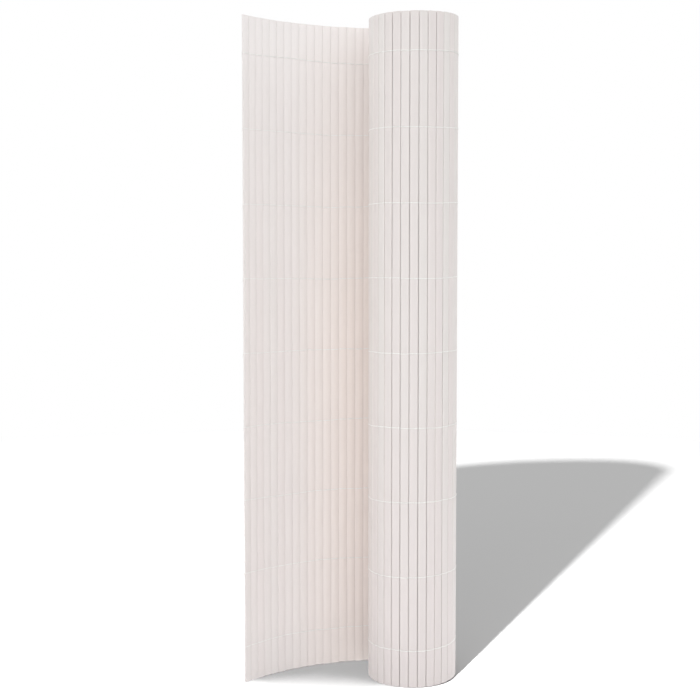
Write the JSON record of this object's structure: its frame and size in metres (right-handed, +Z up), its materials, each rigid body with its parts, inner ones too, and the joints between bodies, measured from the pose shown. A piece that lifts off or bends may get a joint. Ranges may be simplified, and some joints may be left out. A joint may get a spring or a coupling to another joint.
{
  "type": "pvc slat privacy screen roll",
  "caption": "Upright roll of off-white hollow plastic slats tied by rows of twine, with its free end left open as a curved leaf, for screening balconies and fences.",
  "frame": {"origin": "on the ground, under the middle of the whole screen's box", "axes": "+Z up along the slats; the leaf opens towards -X and its hollow side faces -Y; the roll stands at +X"},
  "size_m": [0.292, 0.1258, 0.9],
  "materials": {
    "white_pvc": "satin off-white PVC",
    "white_twine": "white twine"
  },
  "bodies": {
    "root": {"leaf_slat_01": "white_pvc", "leaf_slat_02": "white_pvc", "leaf_slat_03": "white_pvc", "leaf_slat_04": "white_pvc", "leaf_slat_05": "white_pvc", "leaf_slat_06": "white_pvc", "leaf_slat_07": "white_pvc", "leaf_slat_08": "white_pvc", "leaf_slat_09": "white_pvc", "leaf_slat_10": "white_pvc", "leaf_slat_11": "white_pvc", "leaf_slat_12": "white_pvc", "leaf_slat_13": "white_pvc", "leaf_slat_14": "white_pvc", "leaf_slat_15": "white_pvc", "leaf_slat_16": "white_pvc", "leaf_slat_17": "white_pvc", "leaf_slat_18": "white_pvc", "leaf_slat_19": "white_pvc", "leaf_slat_20": "white_pvc", "leaf_slat_21": "white_pvc", "free_edge_slat": "white_pvc", "roll_turn_10": "white_pvc", "roll_turn_09": "white_pvc", "roll_turn_08": "white_pvc", "roll_turn_07": "white_pvc", "roll_turn_06": "white_pvc", "roll_turn_05": "white_pvc", "roll_turn_04": "white_pvc", "roll_turn_03": "white_pvc", "roll_turn_02": "white_pvc", "roll_turn_01": "white_pvc", "twine_row_1": "white_twine", "twine_row_2": "white_twine", "twine_row_3": "white_twine", "twine_row_4": "white_twine", "twine_row_5": "white_twine", "twine_row_6": "white_twine", "twine_row_7": "white_twine", "twine_row_8": "white_twine", "twine_row_9": "white_twine"}
  },
  "joints": []
}
